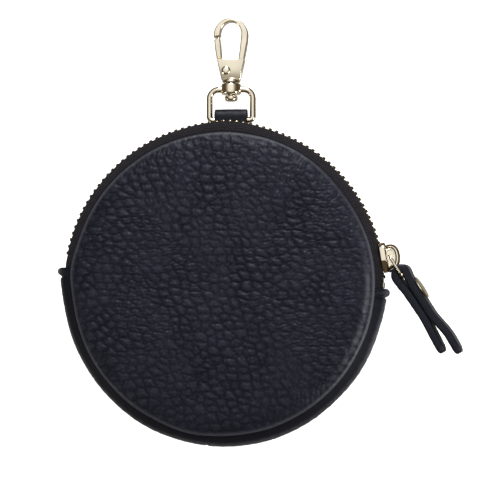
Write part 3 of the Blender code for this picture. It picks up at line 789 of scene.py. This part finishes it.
def make_teeth(side, body, node):
    """One row of zip teeth in one piece, each a small stamped block with a domed outer face."""
    low, high = ZIP_START + 2.2, ZIP_END - 2.2
    count = int((high - low) / TOOTH_PITCH)
    low += (high - low - count * TOOTH_PITCH) / 2
    outline = rounded(tooth_outline(), 0.16, 1)
    top = 50.0 if side > 0 else 49.6
    levels = [(0.8, 0.8, 48.2), (1.0, 1.0, 48.5), (1.0, 1.0, top - 1.0), (0.95, 0.74, top - 0.5),
              (0.8, 0.45, top - 0.12), (0.5, 0.3, top)]
    points, faces = [], []
    size = len(outline)
    for k in range(count):
        angle = low + TOOTH_PITCH * (k + 0.25 + (0.5 if side < 0 else 0.0))
        turn = math.radians(angle)
        shake = 0.02 * math.sin(k * 12.9898 + side) + zip_swell(angle)
        out = Vector((math.cos(turn), math.sin(turn), 0))
        side_way = Vector((-math.sin(turn), math.cos(turn), 0))
        base = len(points)
        for across, upwards, radius in levels:
            for p in outline:
                z = 0.75 + (p.y - 0.75) * upwards
                points.append(out * (radius + shake) * MM + side_way * p.x * across * MM
                              + Vector((0, 0, MID_Z + side * z * MM)))
        for level in range(len(levels) - 1):
            for m in range(size):
                a, b = base + level * size + m, base + level * size + (m + 1) % size
                faces.append((a, b, b + size, a + size))
        faces.append(tuple(range(base, base + size))[::-1])
        faces.append(tuple(range(base + (len(levels) - 1) * size, base + len(levels) * size)))
    piece = fix_normals(mesh_object(node + "_metal", points, faces), 45)
    dress(piece, TEETH_FINISH, body, node)


def make_stop(node, body, angle, inner, outer):
    """A crimped metal stop at an end of the zip, stepped down where it grips the tape."""
    half = math.degrees(0.75 * MM / OUTER_R)
    steps, shoulder = 9, inner + 0.7 * (outer - inner)
    high, step, low, middle = 49.75, 49.1, 48.4, 49.5
    corners = ((high, inner), (high, shoulder), (step, shoulder), (step, outer), (low, outer), (low, inner))
    section = rounded(corners, 0.25)
    rings = []
    for k in range(steps):
        from_middle = 2 * k / (steps - 1) - 1
        turn = math.radians(angle + half * from_middle)
        shrink = 1 - 0.12 * abs(from_middle) ** 3
        ring = []
        for p in section:
            radius = (middle + (p.x - middle) * shrink) * MM
            ring.append((radius * math.cos(turn), radius * math.sin(turn), MID_Z + p.y * MM))
        rings.append(ring)
    dress(swept(node + "_crimp", rings), TEETH_FINISH, body, node)


# ---------------------------------------------------------------- the slider and its pull

def slider_width(t):
    """The slider's half width along its length: blunt at the wide end, drawn in to the nose."""
    stations = ((-4.5, 1.7), (-3.7, 2.2), (-1.1, 4.2), (3.1, 4.2), (4.1, 3.3), (4.5, 2.7))
    for (a, low), (b, high) in zip(stations, stations[1:]):
        if t <= b:
            return low + (high - low) * (t - a) / (b - a)
    return stations[-1][1]


SLIDER = Matrix.Translation((0, 0, MID_Z)) @ Matrix.Rotation(math.radians(SLIDER_ANGLE), 4, "Z")


def make_slider():
    """The slider: a channel that narrows to its nose, with its inner plate and the post between them."""
    low, high, inside, steps = 49.25, 51.15, 50.55, 36
    rings = []
    for k in range(steps + 1):
        t = -4.5 + 9.0 * k / steps
        width = slider_width(t)
        ends = 0.15 * max(0.0, abs(t) - 4.0) / 0.5
        half = [(low + ends, width - 0.75), (low + ends, width), (high - 0.4, width),
                (high - ends, width - 0.5)]
        channel = half + [(x, -y) for x, y in half[::-1]] + [(inside, 0.9 - width), (inside, width - 0.9)]
        rings.append([SLIDER @ (Vector((p.x, t, p.y)) * MM) for p in rounded(channel, 0.16, 2)])
    body = swept("slider_channel", rings)
    post = prism("slider_post", ((47.7, 1.0), (50.8, 1.0), (50.8, 3.2), (47.7, 3.2)), 0.4, 0.05, segments=1)
    post.data.transform(SLIDER)
    cut(body, post, "UNION")
    corners = ((-2.2, -3.4), (2.2, -3.4), (2.2, 3.4), (-2.2, 3.4))
    inner = prism("slider_inner", rounded(corners, 1.2), 0.6, 0.12)
    inner.data.transform(SLIDER @ Matrix(((0, 0, 1, 47.6 * MM), (0, 1, 0, 0), (1, 0, 0, 0), (0, 0, 0, 1))))
    cut(body, fix_normals(inner, 38), "UNION")
    gild(body, "slider", "slider_body")


def make_bridge():
    """The slider's D-shaped bridge: a stout arch with a sloped outer side, and a web round the link's eye."""
    line = smooth_line([(50.9, 3.05), (52.1, 3.4), (53.3, 3.1), (54.15, 2.1), (54.45, 0.4), (54.2, -1.4),
                        (53.4, -3.0), (52.1, -3.8), (50.9, -4.1)], 7)
    inner, outer = -1.3, 0.6
    rings = []
    for k, p in enumerate(line):
        way = (line[min(k + 1, len(line) - 1)] - line[max(k - 1, 0)]).normalized()
        side = Vector((-way.y, way.x))
        half = 1.0 + 0.5 * (2 * k / (len(line) - 1) - 1) ** 2
        corners = ((outer, -half), (outer, half - 1.6), (outer - 0.1, half - 1.5), (inner + 0.5, half),
                   (inner, half), (inner, -half))
        ring = []
        for q in rounded(corners, 0.1, 3):
            ring.append(SLIDER @ (Vector((p.x + side.x * q.x, p.y + side.y * q.x, q.y)) * MM))
        rings.append(ring)
    arch = swept("slider_arch", rings)
    web = prism("slider_web", line[::-1], 1.1, 0.05, segments=1)
    web.data.transform(SLIDER)
    cut(arch, web, "UNION")
    cut(arch, cylinder("eye_hole", 0.62, -3, 3, Matrix.Translation(JOINTS["link_swing"])))
    gild(arch, "slider", "slider_bridge")


def make_link():
    """The pull link: a thin wire ring with rounded corners, standing on edge."""
    pivot, end = JOINTS["link_swing"], JOINTS["tab_swing"]
    reach = (end - pivot).length
    outwards = (end - pivot).normalized()
    low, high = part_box("pull_link")
    thickness, corner = 0.84 * MM, 1.6 * MM
    half = (high.z - low.z - thickness) / 2
    line = []
    for x, y, first in ((reach, half, 0), (0, half, 90), (0, -half, 180), (reach, -half, 270)):
        centre = Vector((x - math.copysign(corner, x - reach / 2), y - math.copysign(corner, y)))
        for k in range(9):
            line.append(centre + corner * spoke(first + 90 * k / 8))
    points = [pivot + outwards * p.x + Vector((0, 0, p.y)) for p in line]
    gild(wire("pull_link_wire", points, thickness, closed=True), "link", "pull_link")


# The tab's middle line from one end, round the link, to the other, in millimetres
TAB_LINE = [
    (67.5, -21.5), (62.4, -11.6), (59.6, -7.2), (56.75, -2.9), (55.0, -0.8), (53.3, 1.9), (54.0, 4.1),
    (56.0, 4.2), (57.2, 1.8), (58.95, -1.5), (61.8, -5.85), (64.6, -10.2), (69.2, -15.7), (72.6, -21.7),
]
STUD_AT = Vector((60.65, -1.7, 0)) * MM + Vector((0, 0, MID_Z))
STUD_NORMAL = Vector((0.841, 0.541, 0.0))
TAB_LEAN = 0.13  # how far the tab leans back for each unit of height


def make_tab():
    """The pull tab: a thick leather strip folded over the link, with rounded ends and a plain gold stud."""
    line = smooth_line([Vector(p) * MM for p in TAB_LINE], 9)

    def half_width(share):
        to_end = min(1.0, min(share, 1 - share) / 0.085)
        return 3.7 * MM * (0.52 + 0.48 * math.sqrt(1 - (1 - to_end) ** 2))

    # The tab's outer side gets a painted highlight.
    tab = strip("pull_tab_leather", line, 2.52 * MM, half_width, 14, 51, 0.35)
    tab.data.transform(Matrix.Translation((0, 0, MID_Z)))
    place = along(STUD_NORMAL, STUD_AT)
    lean = Matrix.Identity(4)
    lean[0][2], lean[1][2] = -TAB_LEAN * STUD_NORMAL.x, -TAB_LEAN * STUD_NORMAL.y
    lean = Matrix.Translation((0, 0, MID_Z)) @ lean @ Matrix.Translation((0, 0, -MID_Z))
    hole = [(0, -9), (2.7, -9), (2.7, -4.1), (0.95, -4.1), (0.95, 3), (0, 3)]
    cut(tab, lathe("stud_hole", hole, place, 32))
    tab.data.transform(lean)
    dress(tab, EDGE_FINISH, "tab", "pull_tab")
    cap = [(0, -4.6), (0.75, -4.6), (0.8, -4.4), (0.8, 0.12), (3.3, 0.12), (3.7, 0.3), (3.7, 0.55),
           (3.5, 0.75), (3.1, 0.82), (2.8, 0.78), (1.6, 1.0), (0, 1.12)]
    gild(lathe("tab_stud_cap", cap, lean @ place), "tab", "tab_stud")
    washer = [(0, -5.4), (1.6, -5.38), (2.2, -5.2), (2.4, -5.0), (2.3, -4.9), (0, -4.88)]
    gild(lathe("tab_stud_washer", washer, lean @ place), "tab", "tab_stud_back")


# ---------------------------------------------------------------- the loop and the clip

# The clip's axis runs along Y through CLIP; its places along that axis are millimetres from the disc's middle
CLIP = Vector((JOINTS["hook_swivel"].x, 0, JOINTS["hook_swivel"].z))
UP = along(Vector((0, 1, 0)), CLIP)
BOSS_LOW, BOSS_HIGH = 59.8, 63.2
NECK_TOP = BOSS_HIGH + 1.2
PLATE_TOP = 70.4
HOOK_TOP = 83.9
BOW_R, BOW_INNER_R = 5.4, 3.3
BOW_Y = HOOK_TOP - BOW_R
GATE_TIP = 77.5
PIN_HOLE_R, RIVET_HOLE_R = 1.3, 1.0


def make_loop():
    """The hanging loop: a leather strap folded round the D-frame's bar."""
    low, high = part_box("hanging_loop")
    leather = 1.2 * MM
    ply = (high.z - low.z - leather) / 2
    fold_y = high.y - leather / 2 - ply
    line = [Vector((low.y, -0.75 * MM)), Vector((low.y + 1.1 * MM, -ply * 0.7)),
            Vector((low.y + 2.3 * MM, -ply))]
    line += [Vector((fold_y, 0)) + ply * spoke(-90 + 180 * k / 16) for k in range(17)]
    line += [Vector((p.x, -p.y)) for p in line[2::-1]]
    half = (high.x - low.x) / 2
    loop = strip("hanging_loop_leather", smooth_line(line, 3), leather, lambda share: half, 24, 61)
    middle = (low + high) / 2
    loop.data.transform(Matrix(((0, 0, 1, middle.x), (1, 0, 0, 0), (0, 1, 0, middle.z), (0, 0, 0, 1))))
    fix_normals(loop, 50)
    dress(loop, EDGE_FINISH, "back_shell", "hanging_loop")


def make_frame():
    """The clip's D-frame: a bent wire and the boss that the pin turns in."""
    half, top, upper, lower = 6.8, 61.4, 2.9, 1.3
    bar = JOINTS["clip_fold"].y / MM
    line = [Vector((-2.4, top))]
    line += [Vector((upper - half, top - upper)) + upper * spoke(90 + 90 * k / 12) for k in range(13)]
    line += [Vector((lower - half, bar + lower)) + lower * spoke(180 + 90 * k / 8) for k in range(9)]
    line += [Vector((-p.x, p.y)) for p in line[::-1]]
    points = [CLIP + Vector((p.x * MM, p.y * MM, 0)) for p in line]
    body = wire("swivel_frame_wire", points, 1.9 * MM)
    low, high = BOSS_LOW, BOSS_HIGH
    boss = [(0, low), (2.5, low), (2.8, low + 0.05), (3.05, low + 0.3), (3.1, low + 0.7), (3.1, high - 0.5),
            (2.95, high - 0.15), (2.6, high), (0, high)]
    cut(body, lathe("boss", boss, UP, 64), "UNION")
    cut(body, cylinder("bore", PIN_HOLE_R, low - 1, high + 1, UP))
    gild(body, "clip_frame", "swivel_frame")


def make_pin():
    """The headed pin that joins the hook to the frame."""
    low, high = 57.7, NECK_TOP + 0.1
    outline = [(0, low), (1.3, low), (1.75, low + 0.15), (2.0, low + 0.5), (2.0, low + 1.35),
               (1.85, low + 1.65), (1.0, low + 1.7), (1.0, high), (0, high)]
    gild(lathe("swivel_pin_metal", outline, UP), "hook", "swivel_pin")


def hook_outline():
    """The bow and the plate's top from the front: up the right side, round to the gap, and back inside it."""
    wide, low, rise = 4.1, PLATE_TOP - 0.9, BOW_R - 1.25
    outline = [(0.2 - wide, low), (wide - 0.2, low), (wide, PLATE_TOP), (4.75, PLATE_TOP + 3.3),
               (5.25, BOW_Y - 2.0)]
    outline += [(BOW_R * p.x, BOW_Y + BOW_R * p.y) for p in map(spoke, np.linspace(0, 180, 33))]
    outline += [(-5.3, GATE_TIP + 0.3), (-4.4, GATE_TIP + 0.3), (-4.4, GATE_TIP + 0.55),
                (-BOW_INNER_R, GATE_TIP + 0.55)]
    outline += [(BOW_INNER_R * p.x, BOW_Y + rise * p.y) for p in map(spoke, np.linspace(180, 0, 25))]
    return outline + [(3.0, BOW_Y - 3.0), (2.65, PLATE_TOP + 2.3), (2.3, PLATE_TOP + 0.1), (2.1, PLATE_TOP),
                      (-wide, PLATE_TOP)]


def make_hook():
    """The hook: a bow on a proud plate that thins towards the neck, with a slot for the gate."""
    body = prism("hook_casting", hook_outline(), 3.8, 0.45, CLIP)
    plate = []
    for k in range(13):
        share = k / 12
        wide, thick = 2.95 + 1.3 * share, 2.075 - 0.85 * (1 - share) ** 2
        section = rounded([(wide, -thick), (wide, thick), (-wide, thick), (-wide, -thick)], 0.3)
        y = NECK_TOP - 0.05 + (PLATE_TOP + 0.2 - NECK_TOP) * share
        plate.append([CLIP + Vector((p.x, y, p.y)) * MM for p in section])
    cut(body, swept("hook_plate", plate), "UNION")
    low, high = PLATE_TOP + 0.15, PLATE_TOP + 0.42
    for face in (-1, 1):
        at = CLIP + Vector((0, 0, face * 2.15 * MM))
        cut(body, prism("plate_groove", ((-6, low), (6, low), (6, high), (-6, high)), 1.2, 0.01, at, 1))
    low = BOSS_HIGH + 0.3
    neck = [(0, low), (2.3, low), (2.75, low + 0.15), (2.8, low + 0.5), (2.7, low + 0.8), (2.1, low + 1.3),
            (0, low + 1.3)]
    cut(body, lathe("neck", neck, UP), "UNION")
    cut(body, cylinder("pin_hole", PIN_HOLE_R, low - 1, NECK_TOP + 0.5, UP))
    low, high = NECK_TOP + 0.9, PLATE_TOP + 1
    cut(body, prism("slot", ((-7.0, low), (1.8, low), (1.8, high), (-7.0, high)), 2.4, 0.02, CLIP, 1))
    cut(body, cylinder("rivet_hole", RIVET_HOLE_R, -3, 3, Matrix.Translation(JOINTS["gate_open"])))
    gild(body, "hook", "hook_body")


def make_gate():
    """The gate: a slim lever with a lapped tip, thick above the plate and thin inside the plate's slot."""
    pivot = JOINTS["gate_open"]
    heel = [1.5 * spoke(angle) for angle in np.linspace(210, 350, 12)]
    tip = GATE_TIP - pivot.y / MM
    shoulder = PLATE_TOP + 0.85 - pivot.y / MM
    inner = [(-1.35, shoulder), (-1.6, shoulder + 3.2), (-2.05, tip + 0.25)]
    outer = [(-2.9, tip + 0.25), (-2.9, tip), (-3.75, tip - 0.6), (-3.4, shoulder + 2.6), (-3.0, shoulder)]
    outline = heel + [(0.5, shoulder - 1.8)] + inner + outer + [(-2.5, shoulder - 2.6)]
    gate = prism("hook_gate_lever", outline, 1.2, 0.2, pivot - Vector((0, 0, 0.3 * MM)), 2)
    cut(gate, prism("gate_head", inner + outer, 3.3, 0.4, pivot), "UNION")
    cut(gate, cylinder("gate_hole", RIVET_HOLE_R, -3, 3, Matrix.Translation(pivot)))
    gild(gate, "gate", "hook_gate")


def make_rivet():
    """The gate's rivet, with the same head at both ends."""
    end = 2.2
    half = [(0.7, end), (1.4, end), (1.25, end + 0.2), (0.8, end + 0.42), (0, end + 0.5)]
    outline = [(r, -z) for r, z in half[::-1]] + half
    place = Matrix.Translation(JOINTS["gate_open"])
    gild(lathe("gate_rivet_head", outline, place), "hook", "gate_rivet")


def make_spring():
    """The gate's torsion spring, coiled round the rivet."""
    radius, low, rise, turns, steps = 1.22 * MM, 0.53 * MM, 0.36 * MM, 1.25, 60
    line = []
    for k in range(steps + 1):
        across = radius * spoke(360 * turns * k / steps)
        line.append(JOINTS["gate_open"] + Vector((across.x, across.y, low + rise * k / steps)))
    dress(wire("gate_spring_wire", line, 0.22 * MM), STEEL_FINISH, "hook", "gate_spring")


# ---------------------------------------------------------------- camera, light and floor

def make_camera():
    """A long lens above the purse, a few degrees towards the lower right."""
    target = Vector((5.0, 13.5, 11.0)) * MM
    distance, across = 0.90, 148.35 * MM
    lean = Vector((0.095, -0.082, 1.0)).normalized()
    data = bpy.data.cameras.new("camera")
    data.sensor_width = 36
    data.lens = 36 * distance / across
    data.clip_start, data.clip_end = 0.05, 20
    right = Vector((0, 1, 0)).cross(lean).normalized()
    turn = Matrix((right, lean.cross(right), lean)).transposed().to_4x4()
    camera = placed("camera", data)
    camera.matrix_world = Matrix.Translation(target + lean * distance) @ turn
    bpy.context.scene.camera = camera


def area_light(name, at, size, energy):
    """A softbox that faces the purse."""
    data = bpy.data.lights.new(name, "AREA")
    data.shape = "RECTANGLE"
    data.size, data.size_y = size
    data.energy = energy
    placed(name, data).matrix_world = along(Vector(at).normalized(), Vector(at))


def make_lights():
    """Three softboxes, and a studio that is white overhead and dark at the sides, for the metal."""
    area_light("top_softbox", (0.06, 0.90, 0.50), (0.32, 0.70), 12.0)
    area_light("right_softbox", (0.92, -0.42, 0.38), (0.35, 0.35), 7.0)
    area_light("left_softbox", (-0.85, -0.50, 0.28), (0.35, 0.30), 2.2)
    world = bpy.data.worlds.new("studio")
    world.use_nodes = True
    bpy.context.scene.world = world
    tree = world.node_tree
    shader = tree.nodes["Background"]
    where = tree.nodes.new("ShaderNodeTexCoord")
    towards = tree.nodes.new("ShaderNodeVectorMath")
    towards.operation = "DOT_PRODUCT"
    towards.inputs[1].default_value = Vector((0, 0.36, 0.94)).normalized()
    ramp = tree.nodes.new("ShaderNodeValToRGB")
    tree.links.new(where.outputs["Generated"], towards.inputs[0])
    lift = tree.nodes.new("ShaderNodeMapRange")
    lift.inputs["From Min"].default_value = -1
    lift.inputs["From Max"].default_value = 1
    tree.links.new(towards.outputs["Value"], lift.inputs["Value"])
    tree.links.new(lift.outputs[0], ramp.inputs[0])
    stops = [(0.0, (0.42, 0.40, 0.36)), (0.15, (0.30, 0.28, 0.24)), (0.40, (0.09, 0.065, 0.035)),
             (0.62, (0.075, 0.052, 0.028)), (0.78, (0.14, 0.115, 0.08)), (0.88, (0.42, 0.40, 0.36)),
             (0.945, (0.92, 0.92, 0.90)), (1.0, (1.0, 1.0, 1.0))]
    while len(ramp.color_ramp.elements) < len(stops):
        ramp.color_ramp.elements.new(0.5)
    for element, (position, colour) in zip(ramp.color_ramp.elements, stops):
        element.position = position
        element.color = (*colour, 1)
    tree.links.new(ramp.outputs[0], shader.inputs["Color"])
    shader.inputs["Strength"].default_value = 1.08


def make_floor():
    """A white light table, so the purse throws almost no shadow."""
    bpy.ops.mesh.primitive_plane_add(size=8, location=(0, 0, -0.4 * MM))
    floor = bpy.context.object
    floor.name = "floor"
    n = Nodes("light_table")
    n.finish(Base_Color=(0.9, 0.9, 0.9, 1), Roughness=0.9)
    n.shader.inputs["Emission Color"].default_value = (1, 1, 1, 1)
    n.shader.inputs["Emission Strength"].default_value = 0.85
    floor.data.materials.append(n.material)
    floor.visible_glossy = False


make_camera()
make_lights()
make_floor()
for half, side, flat in (("front", 1, 6 / 47), ("back", -1, 20 / 47)):
    shell = half + "_shell"
    make_panel(half + "_panel", side, flat, shell)
    padding = make_inner_disc(half + "_foam", half + "_padding", side, flat, shell,
                              1.75 * MM, 0.95 * MM, 44 * MM, FOAM_FINISH, "foam")
    lining = make_inner_disc(half + "_lining_cloth", half + "_lining", side, flat, shell,
                             3.05 * MM, 0.45 * MM, 44.5 * MM, LINING_FINISH, "lining")
    make_tape(side, shell, "zip_tape_" + half)
    make_teeth(side, shell, "zip_teeth_" + half)
    make_stop("zip_top_stop_" + half, shell, ZIP_START + 0.8, side * 0.5, side * 2.3)
make_stop("zip_bottom_stop", "back_shell", ZIP_END - 0.8, -0.5, -2.3)
make_gusset("gusset_leather", "gusset", 0.0, LEATHER, 1.0, LEATHER_FINISH, True)
make_gusset("gusset_lining_cloth", "gusset_lining", 1.75 * MM, 0.45 * MM, 0.7, LINING_FINISH, False)
for make in (make_slider, make_bridge, make_link, make_tab, make_loop, make_frame, make_pin, make_hook,
             make_gate, make_rivet, make_spring):
    make()
bpy.context.scene.view_settings.view_transform = "Standard"
